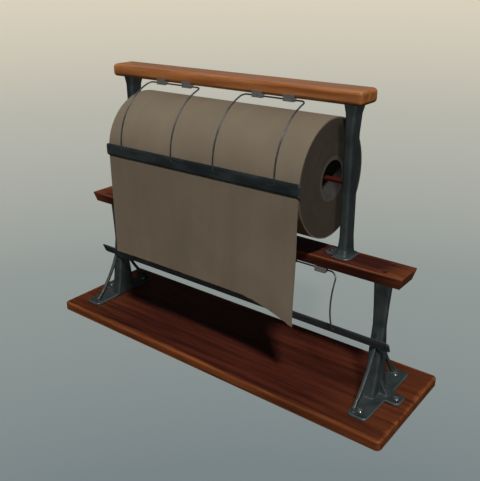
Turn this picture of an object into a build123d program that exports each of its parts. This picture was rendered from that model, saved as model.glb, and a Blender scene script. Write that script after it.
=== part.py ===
from build123d import *
import os
from math import cos, hypot, radians, sin, sqrt, tan

# A two-tier counter stand that carries a roll of wrapping paper and tears it against a hanging blade.
# Millimetres. The origin is in the middle of the base board's underside.
# +X runs along the roll, -Y is the front where the paper hangs, +Z is up.

# Paper roll and its spindle
roll_length = 457.2
roll_diameter = 215.2
roll_edge_round = 1.2
core_wall = 7.0
core_bore = 68.0
hub_thickness = 22.0
hub_inset = 60.0
rod_diameter = 9.5
rod_end_chamfer = 0.8
rod_bearing_length = 5.5

# Gaps round the roll, which set the height and width of the upper tier
roll_floor_gap = 30.4
roll_head_gap = 28.4
roll_side_gap = 25.4

# Wooden boards
base_depth = 249.0
base_thickness = 20.0
base_overhang = 71.0
base_corner_radius = 9.0
base_top_round = 4.5
base_foot_chamfer = 1.5
lower_bay_height = 238.3
middle_depth = 63.0
middle_thickness = 21.7
middle_overhang = 42.0
middle_undercut = 5.6
middle_edge_round = 1.2
bar_depth = 56.0
bar_thickness = 25.0
bar_overhang = 29.0
bar_round = 7.5

# Cast uprights of the upper tier
upright_width = 16.0
upright_depth = 27.5
upright_shift = 1.8
upright_low_swell = 3.5
upright_high_swell = 2.0
upright_corner = 5.0
upright_top_flare_width = 10.0
upright_top_flare_depth = 8.5
upright_top_flare_shift = 1.8
upright_top_flare_height = 52.0
upright_foot_flare_width = 8.0
upright_foot_flare_depth = 9.0
upright_foot_flare_height = 32.0
flare_share = 0.33
flange_thickness = 5.0
flange_width = 36.0
flange_depth = 48.0
flange_corner = 11.0
flange_shift = 2.0
flange_edge_round = 1.4
ear_reach = 28.0
ear_depth = 28.0
ear_corner = 9.0
ear_screw_inset = 10.0
lobe_rise = 30.0
lobe_half_height = 46.0
lobe_proud = 11.5
lobe_thickness = 13.0
lobe_round = 4.0
seat_width = 10.3
seat_depth = 6.0
seat_slope_angle = 40.0
seat_run = 40.0

# Cast legs of the lower tier
leg_offset = 84.0
leg_column_shift = 4.0
leg_top_width = 34.0
leg_neck_width = 27.5
leg_neck_height = 205.0
leg_waist_width = 24.5
leg_waist_depth = 14.0
leg_waist_height = 165.0
leg_knee_depth = 30.0
leg_knee_height = 110.0
leg_shin_depth = 40.0
leg_shin_height = 70.0
leg_root_depth = 60.0
leg_corner = 4.5
housing_thickness = 4.0
housing_width = 36.0
housing_depth = 46.0
housing_shift = 3.0
housing_corner = 6.0
foot_thickness = 6.0
foot_length = 184.0
foot_inner_reach = 13.0
foot_outer_reach = 27.0
foot_tip_corner = 10.0
foot_edge_round = 1.6
lug_reach = 54.0
lug_depth = 34.0
strut_thickness = 6.5
strut_shift = 3.0
strut_top_height = 168.0
strut_root_width = 5.0
strut_fork_height = 120.0
strut_fork_width = 9.5
strut_sink = 1.0
strut_toe_reach = 84.0
strut_toe_height = 34.0
strut_toe_length = 9.0
strut_bow_reach = 36.0
strut_bow_height = 92.0
strut_inner_bow_height = 84.0
strut_inner_bow_width = 7.5
gusset_thickness = 8.0
gusset_top_height = 84.0
gusset_reach = 24.0
gusset_bow_reach = 12.5
gusset_bow_height = 50.0
gusset_toe_height = 3.0

# Cutter blades
blade_height = 24.0
blade_thickness = 2.0
blade_corner = 5.0
blade_bevel = 4.0
blade_bevel_depth = 1.2
blade_hole_rise = 2.0
upper_blade_overhang = 5.0
lower_blade_overhang = 29.0

# Wire bails that carry the blades
wire_diameter = 3.0
upper_wire_bend = 9.0
lower_wire_bend = 14.0
hook_radius = 3.0
hook_straight = 8.0
upper_bail_span = 133.0
upper_bail_inset = 44.6
upper_pivot_inset = 4.0
upper_dip_angle = 18.0
lower_bail_span = 133.0
lower_pivot_inset = 3.9
lower_arm_radius = 105.0
lower_arm_angle = 52.0
lower_dip_angle_least = 30.0
lower_dip_angle_most = 90.0
dip_angle_tolerance = 1e-9

# Clips that hinge the bails under the boards
clip_width = 22.0
clip_strap = 1.2
lower_knuckle_wall = 3.0
clip_plate_stand = 0.1
upper_clip_plate_overlap = 6.4
lower_clip_plate_gap = 2.2
lower_clip_plate_overlap = 0.8
clip_leaf = 22.0
clip_screw_setback = 14.0
clip_inset = 33.0

# Hanging end of the paper
paper_thickness = 0.5
tail_side_inset = 0.6
tail_drop_left = 212.5
tail_drop_middle = 208.5
tail_drop_right = 238.0
tail_droop_length = 118.0

# Fasteners
foot_screw_head = 9.0
foot_screw_head_height = 3.2
foot_screw_shank = 5.0
foot_screw_length = 16.0
foot_recess = 13.0
foot_recess_depth = 2.2
toe_screw_shift = 6.0
toe_screw_inset = 19.0
lug_screw_inset = 12.0
leg_screw_head = 9.6
leg_screw_shank = 5.0
leg_screw_shift = 4.0
leg_screw_gauge = 35.0
ear_screw_head = 8.4
ear_screw_head_height = 3.0
ear_screw_shank = 4.5
ear_screw_length = 18.0
bolt_shank = 8.0
bolt_flats = 13.0
bolt_head_height = 5.3
bolt_bite = 22.0
bar_screw_head = 10.0
bar_screw_shank = 5.0
bar_screw_length = 40.0
bar_screw_depth = 7.0
bar_screw_head_height = 2.6
plug_diameter = 11.0
clip_screw_head = 6.6
clip_screw_head_height = 2.2
clip_screw_shank = 3.2
clip_screw_length = 11.0
slot_share = 0.45
slot_width = 1.2
dome_share = 0.7
sink_angle = 82.0

# Clearances
fit_gap = 0.1
running_gap = 0.08
rest_gap = 0.3
end_gap = 0.5
cut_past = 1.0

os.makedirs("parts", exist_ok=True)
up_from = (Align.CENTER, Align.CENTER, Align.MIN)
down_from = (Align.CENTER, Align.CENTER, Align.MAX)

# Heights
middle_bottom = base_thickness + lower_bay_height
middle_top = middle_bottom + middle_thickness
roll_radius = roll_diameter / 2
roll_z = middle_top + roll_floor_gap + roll_radius
bar_bottom = roll_z + roll_radius + roll_head_gap
bar_top = bar_bottom + bar_thickness
foot_top = base_thickness + foot_thickness
flange_top = middle_top + flange_thickness

# Places along the roll
upright_inner = roll_length / 2 + roll_side_gap
upright_x = upright_inner + upright_width / 2
leg_x = upright_x + leg_offset
bar_length = 2 * (upright_x + bar_overhang)
middle_length = 2 * (leg_x + middle_overhang)
base_length = 2 * (leg_x + base_overhang)
rod_length = 2 * (upright_inner + rod_bearing_length)
upper_blade_length = roll_length + 2 * upper_blade_overhang
lower_blade_length = 2 * (leg_x + lower_blade_overhang)
upper_bail_x = roll_length / 2 - upper_bail_inset - upper_bail_span / 2
lower_bail_x = upright_x - lower_bail_span / 2

# Screw places on the right half
toe_screw_y = foot_length / 2 - toe_screw_inset
toe_screw_x = leg_x + toe_screw_shift
lug_screw_x = leg_x + lug_reach - lug_screw_inset
leg_screw_x = leg_x + leg_screw_shift
leg_screw_y = leg_screw_gauge / 2
ear_screw_x = upright_inner - ear_reach + ear_screw_inset

# Wire and clip geometry
wire_radius = wire_diameter / 2
knuckle_bore = wire_radius + running_gap
upper_knuckle_radius = knuckle_bore + clip_strap
lower_knuckle_radius = knuckle_bore + lower_knuckle_wall
upper_pivot_y = -bar_depth / 2 + upper_pivot_inset
upper_pivot_z = bar_bottom - upper_knuckle_radius
lower_pivot_y = -middle_depth / 2 + middle_undercut + lower_pivot_inset
lower_pivot_z = middle_bottom - lower_knuckle_radius


def arm_direction(angle):
    """Way an arm runs when it points this many degrees below straight forward."""
    return Vector(0, -cos(radians(angle)), -sin(radians(angle)))


def arm_normal(angle):
    """Way towards which an arm curls, square to its direction."""
    return Vector(0, sin(radians(angle)), -cos(radians(angle)))


class BailArm:
    """Centre line of one arm: bend under the board, bowed arm, straight, and the hook through the blade."""

    def __init__(self, x, inward, pivot, dip, bend, radius, sweep_angle):
        start = arm_direction(dip)
        corner = Vector(x, *pivot)
        across = Vector(inward, 0, 0)
        self.down = arm_direction(dip + sweep_angle)
        self.back = arm_normal(dip + sweep_angle)
        self.bend_start = corner + across * bend
        self.bend_middle = corner + (across + start) * (bend * (1 - sin(radians(45))))
        self.bend_end = corner + start * bend
        bow_centre = self.bend_end + arm_normal(dip) * radius
        self.bow_middle = bow_centre - arm_normal(dip + sweep_angle / 2) * radius
        self.bow_end = bow_centre - self.back * radius
        self.hook_start = self.bow_end + self.down * hook_straight
        hook_centre = self.hook_start + self.back * hook_radius
        self.hook_middle = hook_centre + (self.down - self.back) * (hook_radius * sin(radians(45)))
        self.hook_end = hook_centre + self.down * hook_radius
        self.blade_front = self.hook_end + self.back * rest_gap
        self.tip = self.blade_front + self.back * blade_thickness


def blade_rear_edge(arm):
    """Lower rear edge of the blade that an arm carries."""
    return arm.tip + arm.down * (blade_hole_rise + blade_height / 2)


# The upper arm is bowed just enough to lay its blade on the paper at the front of the roll
tail_back_y = -roll_radius - rest_gap
tail_front_y = tail_back_y - paper_thickness
upper_hook_y = tail_front_y - rest_gap - blade_thickness - rest_gap - hook_radius
upper_arm_angle = 90.0 - upper_dip_angle
upper_arm_reach = upper_pivot_y - upper_wire_bend * cos(radians(upper_dip_angle)) - upper_hook_y
upper_arm_radius = upper_arm_reach / (1 - sin(radians(upper_dip_angle)))


def upper_arm(x, inward):
    pivot = (upper_pivot_y, upper_pivot_z)
    return BailArm(x, inward, pivot, upper_dip_angle, upper_wire_bend, upper_arm_radius, upper_arm_angle)


# Front outline of a leg's strut, as distance in front of the leg and height
strut_root_reach = leg_waist_depth / 2 - strut_sink
strut_front = [
    (strut_root_reach, strut_top_height),
    (strut_bow_reach, strut_bow_height),
    (strut_toe_reach, strut_toe_height),
]
strut_circle = ThreePointArc(*[(-reach, height) for reach, height in strut_front])
strut_centre = strut_circle.arc_center


def strut_reach(height):
    """Distance of a strut's front outline from the leg's middle."""
    return -strut_centre.X - sqrt(strut_circle.radius**2 - (height - strut_centre.Y) ** 2)


def lower_arm(x, inward, dip):
    pivot = (lower_pivot_y, lower_pivot_z)
    return BailArm(x, inward, pivot, dip, lower_wire_bend, lower_arm_radius, lower_arm_angle)


def strut_clearance(dip):
    """Gap between the lower blade's rear edge and the front of the struts."""
    edge = blade_rear_edge(lower_arm(0, 1, dip))
    return strut_circle.radius - hypot(edge.Y - strut_centre.X, edge.Z - strut_centre.Y)


# The lower bails hang back until their blade leans on the struts
lower_dip_angle = lower_dip_angle_least
far_dip_angle = lower_dip_angle_most
while far_dip_angle - lower_dip_angle > dip_angle_tolerance:
    trial_dip_angle = (lower_dip_angle + far_dip_angle) / 2
    if strut_clearance(trial_dip_angle) > rest_gap:
        lower_dip_angle = trial_dip_angle
    else:
        far_dip_angle = trial_dip_angle


def finish(builder, name):
    """Labels a finished piece and writes it."""
    builder.part.label = name
    export_step(builder.part, f"parts/{name}.step")


def mirrored(right_piece, name):
    """Writes a right-hand piece's left-hand twin."""
    with BuildPart() as left_piece:
        mirror(right_piece.part, about=Plane.YZ)
    finish(left_piece, name)


def both_sides(points):
    """The right half's places and their left-hand mirror images."""
    return points + [(-point[0], *point[1:]) for point in points]


def clip_places(bail_x, span):
    """Two clips on each bail, the same distance from its arms."""
    reach = span / 2 - clip_inset
    return [side * bail_x + step * reach for side in (-1, 1) for step in (-1, 1)]


foot_screw_points = both_sides([(toe_screw_x, -toe_screw_y), (toe_screw_x, toe_screw_y), (lug_screw_x, 0)])
leg_screw_points = both_sides([(leg_screw_x, -leg_screw_y), (leg_screw_x, leg_screw_y)])
ear_screw_points = both_sides([(ear_screw_x, 0)])
upright_points = both_sides([(upright_x, 0)])
upper_clip_x = clip_places(upper_bail_x, upper_bail_span)
lower_clip_x = clip_places(lower_bail_x, lower_bail_span)
upper_clip_screw_y = upper_pivot_y + clip_screw_setback
lower_clip_screw_y = lower_pivot_y + clip_screw_setback
bolt_hole = bolt_shank / 2 + fit_gap

# Base board
with BuildPart() as base_board:
    with BuildSketch():
        RectangleRounded(base_length, base_depth, base_corner_radius)
    extrude(amount=base_thickness)
    fillet(base_board.faces().sort_by(Axis.Z)[-1].edges(), base_top_round)
    chamfer(base_board.faces().sort_by(Axis.Z)[0].edges(), base_foot_chamfer)
    foot_seat_z = foot_top - foot_recess_depth
    with Locations(*[(x, y, base_thickness) for x, y in foot_screw_points]):
        foot_screw_bite = foot_screw_length - (foot_seat_z - base_thickness)
        Hole(foot_screw_shank / 2 + fit_gap, depth=foot_screw_bite + end_gap)
finish(base_board, "base_board")

# Middle board, undercut all round, with a housing for each leg's top plate
with BuildPart() as middle_board:
    with BuildSketch(Plane.XY.offset(middle_bottom)):
        Rectangle(middle_length - 2 * middle_undercut, middle_depth - 2 * middle_undercut)
    with BuildSketch(Plane.XY.offset(middle_top)):
        Rectangle(middle_length, middle_depth)
    loft(ruled=True)
    fillet(middle_board.edges(), middle_edge_round)
    with BuildSketch(Plane.XY.offset(middle_bottom)):
        with Locations(*both_sides([(leg_x + housing_shift, 0)])):
            RectangleRounded(housing_width, housing_depth, housing_corner)
        offset(amount=fit_gap)
    extrude(amount=housing_thickness, mode=Mode.SUBTRACT)
    with Locations(*[(x, y, middle_top) for x, y in leg_screw_points]):
        CounterSinkHole(leg_screw_shank / 2 + fit_gap, leg_screw_head / 2 + fit_gap, None, sink_angle)
    with Locations(*[(x, y, middle_top) for x, y in upright_points]):
        Hole(bolt_hole)
    with Locations(*[(x, y, middle_top) for x, y in ear_screw_points]):
        Hole(ear_screw_shank / 2 + fit_gap, depth=ear_screw_length - flange_thickness + end_gap)
    with Locations(*[Location((x, lower_clip_screw_y, middle_bottom), (180, 0, 0)) for x in lower_clip_x]):
        Hole(clip_screw_shank / 2 + fit_gap, depth=clip_screw_length - clip_strap + end_gap)
finish(middle_board, "middle_board")

# Top bar, rounded all over, with plugged screw holes above the uprights
with BuildPart() as top_bar:
    with Locations((0, 0, bar_bottom)):
        Box(bar_length, bar_depth, bar_thickness, align=up_from)
    fillet(top_bar.edges(), bar_round)
    with Locations(*[(x, y, bar_top) for x, y in upright_points]):
        CounterBoreHole(bar_screw_shank / 2 + fit_gap, plug_diameter / 2 + fit_gap, bar_screw_depth)
    with Locations(*[Location((x, upper_clip_screw_y, bar_bottom), (180, 0, 0)) for x in upper_clip_x]):
        Hole(clip_screw_shank / 2 + fit_gap, depth=clip_screw_length - clip_strap + end_gap)
finish(top_bar, "top_bar")


# Upright, the right-hand one: flared post on an eared foot, with a rear lobe round a blind groove.
# The spindle's end drops down the groove's slope to its seat.
with BuildPart() as upright_right:
    with BuildSketch(Plane.XY.offset(middle_top)):
        with Locations((upright_x + flange_shift, 0)):
            RectangleRounded(flange_width, flange_depth, flange_corner)
        ear_end = upright_inner - ear_reach
        with Locations(((ear_end + upright_x) / 2, 0)):
            RectangleRounded(upright_x - ear_end, ear_depth, ear_corner)
    extrude(amount=flange_thickness)
    fillet(upright_right.faces().sort_by(Axis.Z)[-1].edges(), flange_edge_round)
    post_sections = [
        (flange_top - cut_past, upright_foot_flare_width, upright_foot_flare_depth, 0),
        (
            flange_top + flare_share * upright_foot_flare_height,
            flare_share * upright_foot_flare_width,
            flare_share * upright_foot_flare_depth + upright_low_swell,
            (1 - flare_share) * upright_shift + upright_low_swell / 2,
        ),
        (flange_top + upright_foot_flare_height, 0, upright_low_swell, upright_shift + upright_low_swell / 2),
        (bar_bottom - upright_top_flare_height, 0, upright_high_swell, upright_shift - upright_high_swell / 2),
        (
            bar_bottom - (1 - flare_share) * upright_top_flare_height / 2,
            flare_share * upright_top_flare_width,
            flare_share * upright_top_flare_depth,
            upright_shift + flare_share * upright_top_flare_shift,
        ),
        (bar_bottom, upright_top_flare_width, upright_top_flare_depth, upright_shift + upright_top_flare_shift),
    ]
    for height, extra_width, extra_depth, shift in post_sections:
        with BuildSketch(Plane.XY.offset(height)):
            with Locations((upright_x, shift)):
                RectangleRounded(upright_width + extra_width, upright_depth + extra_depth, upright_corner)
    loft(ruled=True)
    lobe_z = roll_z + lobe_rise
    lobe_crest = upright_shift + upright_depth / 2 + lobe_proud
    lobe_radius = (lobe_half_height**2 + lobe_proud**2) / (2 * lobe_proud)
    lobe_chord = sqrt(lobe_radius**2 - (lobe_radius - lobe_crest) ** 2)
    with BuildSketch(Plane.YZ.offset(upright_x - lobe_thickness / 2)):
        with BuildLine():
            lobe_arc = ThreePointArc((0, lobe_z - lobe_chord), (lobe_crest, lobe_z), (0, lobe_z + lobe_chord))
            Line(lobe_arc @ 1, lobe_arc @ 0)
        make_face()
    lobe = extrude(amount=lobe_thickness, mode=Mode.PRIVATE)
    add(lobe.fillet(lobe_round, lobe.edges().filter_by(GeomType.CIRCLE)))
    groove_way = Vector(cos(radians(seat_slope_angle)), sin(radians(seat_slope_angle)))
    groove_middle = Vector(0, roll_z) + groove_way * (seat_run / 2)
    with BuildSketch(Plane.YZ.offset(upright_inner - cut_past)):
        with Locations((groove_middle.X, groove_middle.Y)):
            SlotCenterToCenter(seat_run, seat_width, rotation=seat_slope_angle)
    extrude(amount=cut_past + seat_depth, mode=Mode.SUBTRACT)
    with Locations((upright_x, 0, middle_top)):
        Cylinder(bolt_hole, bolt_bite + end_gap, align=up_from, mode=Mode.SUBTRACT)
    with Locations((upright_x, 0, bar_bottom)):
        bar_screw_bite = bar_screw_length - (bar_thickness - bar_screw_depth)
        Hole(bar_screw_shank / 2 + fit_gap, depth=bar_screw_bite + end_gap)
    with Locations((ear_screw_x, 0, flange_top)):
        Hole(ear_screw_shank / 2 + fit_gap, depth=flange_thickness + cut_past)
finish(upright_right, "upper_upright_right")
mirrored(upright_right, "upper_upright_left")

# Leg, the right-hand one: column that spreads down to a foot plate with three toes, and a plate let into the
# middle board. A strut in front and one behind stand a little clear of the spread column.
with BuildPart() as leg_right:
    with BuildSketch(Plane.XY.offset(base_thickness)):
        with Locations((leg_x + (foot_outer_reach - foot_inner_reach) / 2, 0)):
            RectangleRounded(foot_outer_reach + foot_inner_reach, foot_length, foot_tip_corner)
        with Locations((leg_x + lug_reach / 2, 0)):
            RectangleRounded(lug_reach, lug_depth, foot_tip_corner)
    extrude(amount=foot_thickness)
    fillet(leg_right.faces().sort_by(Axis.Z)[-1].edges(), foot_edge_round)
    column_sections = [
        (foot_top - cut_past, leg_waist_width, leg_root_depth),
        (leg_shin_height, leg_waist_width, leg_shin_depth),
        (leg_knee_height, leg_waist_width, leg_knee_depth),
        (leg_waist_height, leg_waist_width, leg_waist_depth),
        (leg_neck_height, leg_neck_width, leg_waist_depth),
        (middle_bottom, leg_top_width, leg_waist_depth),
    ]
    for height, width, depth in column_sections:
        with BuildSketch(Plane.XY.offset(height)):
            with Locations((leg_x - leg_column_shift, 0)):
                RectangleRounded(width, depth, leg_corner)
    loft(ruled=True)
    with BuildSketch(Plane.XY.offset(middle_bottom)):
        with Locations((leg_x + housing_shift, 0)):
            RectangleRounded(housing_width, housing_depth, housing_corner)
    extrude(amount=housing_thickness)
    strut_foot_z = foot_top - strut_sink
    inner_bow_reach = strut_reach(strut_inner_bow_height) - strut_inner_bow_width
    fork_reach = strut_reach(strut_fork_height) - strut_fork_width
    for side in (-1, 1):
        with BuildSketch(Plane.YZ.offset(leg_x - strut_shift - strut_thickness / 2)):
            with BuildLine():
                front_edge = ThreePointArc(*[(side * reach, height) for reach, height in strut_front])
                Polyline(
                    front_edge @ 1,
                    (side * strut_toe_reach, strut_foot_z),
                    (side * (strut_toe_reach - strut_toe_length), strut_foot_z),
                )
                back_edge = ThreePointArc(
                    (side * (strut_toe_reach - strut_toe_length), strut_foot_z),
                    (side * inner_bow_reach, strut_inner_bow_height),
                    (side * fork_reach, strut_fork_height),
                )
                inner_root = (side * (strut_root_reach - strut_root_width), strut_top_height)
                Polyline(back_edge @ 1, inner_root, front_edge @ 0)
            make_face()
        extrude(amount=strut_thickness)
    with BuildSketch(Plane.XZ.offset(-gusset_thickness / 2)):
        with BuildLine():
            rib_edge = ThreePointArc(
                (leg_x - leg_column_shift + leg_waist_width / 2 - strut_sink, gusset_top_height),
                (leg_x + gusset_bow_reach, gusset_bow_height),
                (leg_x + gusset_reach, foot_top + gusset_toe_height),
            )
            Polyline(
                rib_edge @ 1,
                (leg_x + gusset_reach, foot_top - strut_sink),
                (leg_x, foot_top - strut_sink),
                (leg_x, gusset_top_height),
                rib_edge @ 0,
            )
        make_face()
    extrude(amount=gusset_thickness)
    with Locations(*[(x, y, foot_top) for x, y in foot_screw_points if x > 0]):
        CounterBoreHole(foot_screw_shank / 2 + fit_gap, foot_recess / 2, foot_recess_depth)
    with Locations(*[(x, y, middle_bottom + housing_thickness) for x, y in leg_screw_points if x > 0]):
        Hole(leg_screw_shank / 2 + fit_gap, depth=housing_thickness + cut_past)
finish(leg_right, "lower_leg_right")
mirrored(leg_right, "lower_leg_left")

# Paper roll on its cardboard core, with two wooden hubs that run on the spindle
core_outer = core_bore / 2 + core_wall
with BuildPart() as paper_roll:
    with BuildSketch(Plane.YZ.offset(-roll_length / 2)):
        with Locations((0, roll_z)):
            Circle(roll_radius)
            Circle(core_outer + fit_gap, mode=Mode.SUBTRACT)
    extrude(amount=roll_length)
    fillet(paper_roll.edges().filter_by(GeomType.CIRCLE).group_by(SortBy.RADIUS)[-1], roll_edge_round)
finish(paper_roll, "paper_roll")

with BuildPart() as roll_core:
    with BuildSketch(Plane.YZ.offset(-roll_length / 2)):
        with Locations((0, roll_z)):
            Circle(core_outer)
            Circle(core_bore / 2, mode=Mode.SUBTRACT)
    extrude(amount=roll_length)
finish(roll_core, "roll_core")

with BuildPart() as hub_right:
    with BuildSketch(Plane.YZ.offset(roll_length / 2 - hub_inset - hub_thickness)):
        with Locations((0, roll_z)):
            Circle(core_bore / 2 - fit_gap)
            Circle(rod_diameter / 2 + running_gap, mode=Mode.SUBTRACT)
    extrude(amount=hub_thickness)
finish(hub_right, "core_hub_right")
mirrored(hub_right, "core_hub_left")

with BuildPart() as spindle_rod:
    with BuildSketch(Plane.YZ.offset(-rod_length / 2)):
        with Locations((0, roll_z)):
            Circle(rod_diameter / 2)
    extrude(amount=rod_length)
    chamfer(spindle_rod.edges().filter_by(GeomType.CIRCLE), rod_end_chamfer)
finish(spindle_rod, "spindle_rod")

# Hanging end of the paper, torn square at the left and drooping at the right corner
upper_example = upper_arm(0, 1)
tear_z = blade_rear_edge(upper_example).Z - end_gap
tail_half = roll_length / 2 - tail_side_inset
with BuildPart() as paper_tail:
    with BuildSketch(Plane.XZ.offset(-tail_back_y)):
        with BuildLine():
            left_corner = (-tail_half, tear_z - tail_drop_left)
            torn_edge = Line(left_corner, (tail_half - tail_droop_length, tear_z - tail_drop_middle))
            droop = TangentArc(torn_edge @ 1, (tail_half, tear_z - tail_drop_right), tangent=torn_edge % 1)
            Polyline(droop @ 1, (tail_half, tear_z), (-tail_half, tear_z), torn_edge @ 0)
        make_face()
    extrude(amount=paper_thickness)
finish(paper_tail, "paper_tail")


def wire_bail(left_arm, right_arm):
    """One bent wire: hook, bowed arm, bar under the board, bowed arm, hook."""
    with BuildPart() as wire:
        with BuildLine() as centre_line:
            Line(left_arm.tip, left_arm.hook_end)
            ThreePointArc(left_arm.hook_end, left_arm.hook_middle, left_arm.hook_start)
            Line(left_arm.hook_start, left_arm.bow_end)
            ThreePointArc(left_arm.bow_end, left_arm.bow_middle, left_arm.bend_end)
            ThreePointArc(left_arm.bend_end, left_arm.bend_middle, left_arm.bend_start)
            Line(left_arm.bend_start, right_arm.bend_start)
            ThreePointArc(right_arm.bend_start, right_arm.bend_middle, right_arm.bend_end)
            ThreePointArc(right_arm.bend_end, right_arm.bow_middle, right_arm.bow_end)
            Line(right_arm.bow_end, right_arm.hook_start)
            ThreePointArc(right_arm.hook_start, right_arm.hook_middle, right_arm.hook_end)
            Line(right_arm.hook_end, right_arm.tip)
        with BuildSketch(Plane(origin=left_arm.tip, z_dir=-left_arm.back)):
            Circle(wire_radius)
        sweep()
    return wire


def cutter_blade(arm, length, arm_places):
    """Steel strip that hangs on the hooks, bevelled along its lower front edge."""
    face = Plane(origin=(0, arm.blade_front.Y, arm.blade_front.Z), x_dir=(1, 0, 0), z_dir=arm.back)
    with BuildPart() as blade:
        with BuildSketch(face):
            with Locations((0, blade_hole_rise)):
                RectangleRounded(length, blade_height, blade_corner)
            with Locations(*[(x, 0) for x in arm_places]):
                Circle(wire_radius + fit_gap, mode=Mode.SUBTRACT)
        extrude(amount=blade_thickness)
        lower_edges = blade.edges().filter_by(Axis.X).sort_by(lambda edge: edge.center().dot(arm.down))[-2:]
        cutting_edge = lower_edges.sort_by(lambda edge: edge.center().dot(arm.back))[0]
        front_face = blade.faces().sort_by(lambda side: side.center().dot(arm.back))[0]
        chamfer(cutting_edge, blade_bevel, blade_bevel_depth, reference=front_face)
    return blade


def bail_arms(bail_x, span, make_arm):
    """Left and right arm of the left and the right bail."""
    return {
        name: (make_arm(side * bail_x - span / 2, 1), make_arm(side * bail_x + span / 2, -1))
        for name, side in (("left", -1), ("right", 1))
    }


upper_arms = bail_arms(upper_bail_x, upper_bail_span, upper_arm)
lower_arms = bail_arms(lower_bail_x, lower_bail_span, lambda x, inward: lower_arm(x, inward, lower_dip_angle))
for tier, arms, length in (
    ("upper", upper_arms, upper_blade_length),
    ("lower", lower_arms, lower_blade_length),
):
    arm_places = [arm.tip.X for pair in arms.values() for arm in pair]
    finish(cutter_blade(arms["left"][0], length, arm_places), f"{tier}_cutter_blade")
    for name, (left_arm, right_arm) in arms.items():
        finish(wire_bail(left_arm, right_arm), f"{tier}_wire_{name}")


def clip(x, pivot_y, board_bottom, knuckle_radius, plate_back, plate_overlap):
    """Strap screwed under a board: a knuckle round the wire, then forward and up in front of the board's edge."""
    with BuildPart() as piece:
        with BuildSketch(Plane.YZ.offset(x - clip_width / 2)):
            with Locations((pivot_y, board_bottom - knuckle_radius)):
                Circle(knuckle_radius)
            with Locations((pivot_y, board_bottom)):
                Rectangle(clip_leaf, clip_strap, align=(Align.MIN, Align.MAX))
            knuckle_bottom = board_bottom - 2 * knuckle_radius
            plate_front = plate_back - clip_strap
            with Locations((plate_front, knuckle_bottom)):
                Rectangle(pivot_y - plate_front, clip_strap, align=Align.MIN)
                Rectangle(clip_strap, 2 * knuckle_radius + plate_overlap, align=Align.MIN)
            with Locations((pivot_y, board_bottom - knuckle_radius)):
                Circle(knuckle_bore, mode=Mode.SUBTRACT)
        extrude(amount=clip_width)
        with Locations((x, pivot_y + clip_screw_setback, board_bottom)):
            Hole(clip_screw_shank / 2 + fit_gap, depth=clip_strap + cut_past)
    return piece


# The upper clips' plates stand just clear of the bar's front, the lower ones before the undercut edge
upper_plate_back = -bar_depth / 2 - clip_plate_stand
lower_plate_back = -middle_depth / 2 + middle_undercut - lower_clip_plate_gap
for number, x in enumerate(upper_clip_x, 1):
    piece = clip(x, upper_pivot_y, bar_bottom, upper_knuckle_radius, upper_plate_back, upper_clip_plate_overlap)
    finish(piece, f"upper_clip_{number}")
for number, x in enumerate(lower_clip_x, 1):
    piece = clip(x, lower_pivot_y, middle_bottom, lower_knuckle_radius, lower_plate_back, lower_clip_plate_overlap)
    finish(piece, f"lower_clip_{number}")


def round_head_screw(head, head_height, shank, length):
    """Domed, slotted screw with the underside of its head at the origin."""
    with BuildPart() as screw:
        Cylinder(head / 2, head_height, align=up_from)
        fillet(screw.edges().sort_by(Axis.Z)[-1], head_height * dome_share)
        with Locations((0, 0, head_height)):
            Box(head, slot_width, 2 * slot_share * head_height, mode=Mode.SUBTRACT)
        Cylinder(shank / 2, length, align=down_from)
    return screw.part


def flat_head_screw(head, shank, length):
    """Countersunk, slotted screw with the top of its head at the origin."""
    cone_height = (head - shank) / 2 / tan(radians(sink_angle / 2))
    with BuildPart() as screw:
        Cone(shank / 2, head / 2, cone_height, align=down_from)
        Box(head, slot_width, 2 * slot_share * cone_height, mode=Mode.SUBTRACT)
        with Locations((0, 0, -cone_height)):
            Cylinder(shank / 2, length - cone_height, align=down_from)
    return screw.part


def hex_bolt(flats, head_height, shank, length):
    """Hexagon-headed bolt with the underside of its head at the origin."""
    with BuildPart() as bolt:
        with BuildSketch():
            RegularPolygon(flats / 2, 6, major_radius=False)
        extrude(amount=head_height)
        Cylinder(shank / 2, length, align=down_from)
    return bolt.part


def fastener_group(fastener, places, name):
    """Identical fasteners at their places, as one node of separate solids."""
    with BuildPart() as group:
        with Locations(*places):
            add(fastener)
    finish(group, name)


foot_screw = round_head_screw(foot_screw_head, foot_screw_head_height, foot_screw_shank, foot_screw_length)
fastener_group(foot_screw, [(x, y, foot_seat_z) for x, y in foot_screw_points], "foot_screws")
leg_screw = flat_head_screw(leg_screw_head, leg_screw_shank, middle_thickness)
fastener_group(leg_screw, [(x, y, middle_top) for x, y in leg_screw_points], "leg_top_screws")
ear_screw = round_head_screw(ear_screw_head, ear_screw_head_height, ear_screw_shank, ear_screw_length)
fastener_group(ear_screw, [(x, y, flange_top) for x, y in ear_screw_points], "upright_ear_screws")
upright_bolt = hex_bolt(bolt_flats, bolt_head_height, bolt_shank, middle_thickness + bolt_bite)
bolt_places = [Location((x, y, middle_bottom), (180, 0, 0)) for x, y in upright_points]
fastener_group(upright_bolt, bolt_places, "upright_bolts")
bar_screw = round_head_screw(bar_screw_head, bar_screw_head_height, bar_screw_shank, bar_screw_length)
fastener_group(bar_screw, [(x, y, bar_top - bar_screw_depth) for x, y in upright_points], "top_bar_screws")
clip_screw = round_head_screw(clip_screw_head, clip_screw_head_height, clip_screw_shank, clip_screw_length)
for tier, clip_x, screw_y, board_bottom in (
    ("upper", upper_clip_x, upper_clip_screw_y, bar_bottom),
    ("lower", lower_clip_x, lower_clip_screw_y, middle_bottom),
):
    screw_places = [Location((x, screw_y, board_bottom - clip_strap), (180, 0, 0)) for x in clip_x]
    fastener_group(clip_screw, screw_places, f"{tier}_clip_screws")

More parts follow.
